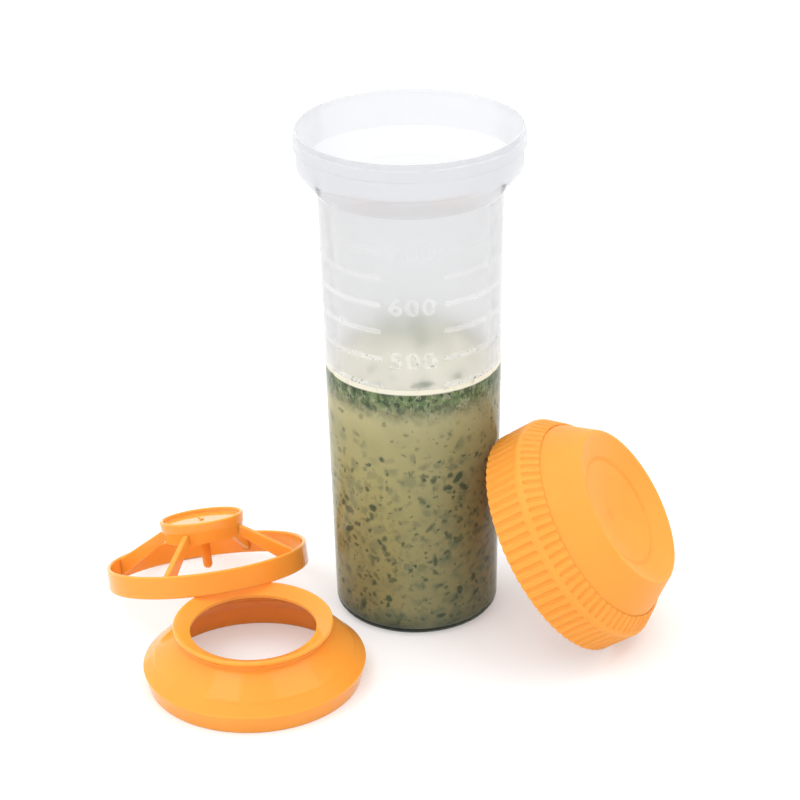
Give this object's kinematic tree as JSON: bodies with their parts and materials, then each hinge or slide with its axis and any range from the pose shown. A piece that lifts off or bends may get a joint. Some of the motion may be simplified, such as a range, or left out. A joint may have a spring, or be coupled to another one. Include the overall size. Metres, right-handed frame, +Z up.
{
  "type": "salad dressing shaker bottle",
  "caption": "Clear dressing shaker bottle taken apart: graduated beaker with dressing, funnel pour ring, bladed mixer and ribbed lid.",
  "frame": {"origin": "centre of the beaker's flat foot, on the surface that all the pieces stand on", "axes": "+Z up along the beaker's axis, out of its mouth; +X to the right in the picture, towards the lid"},
  "size_m": [0.2478, 0.1591, 0.221],
  "materials": {
    "frosted_clear": "translucent frosted body with a polished clear mouth",
    "dressing": "cloudy liquid with herb flecks",
    "orange_gloss": "smooth gloss",
    "orange_satin": "fine spark-eroded texture"
  },
  "bodies": {
    "beaker": {"beaker": "frosted_clear", "dressing": "dressing"},
    "pour_ring": {"pour_ring": "orange_gloss"},
    "mixer": {"mixer": "orange_gloss"},
    "lid": {"lid": "orange_satin"}
  },
  "joints": [
    {"name": "pour_ring_lift", "type": "slide", "parent": "beaker", "child": "pour_ring", "axis": [0, 0, 1], "range_m": [0, 0.1]},
    {"name": "mixer_lift", "type": "slide", "parent": "pour_ring", "child": "mixer", "axis": [-0.1085, 0.2984, 0.9482], "range_m": [0, 0.06]},
    {"name": "lid_lift", "type": "slide", "parent": "beaker", "child": "lid", "axis": [0.7959, -0.2338, 0.5585], "range_m": [0, 0.1]}
  ]
}
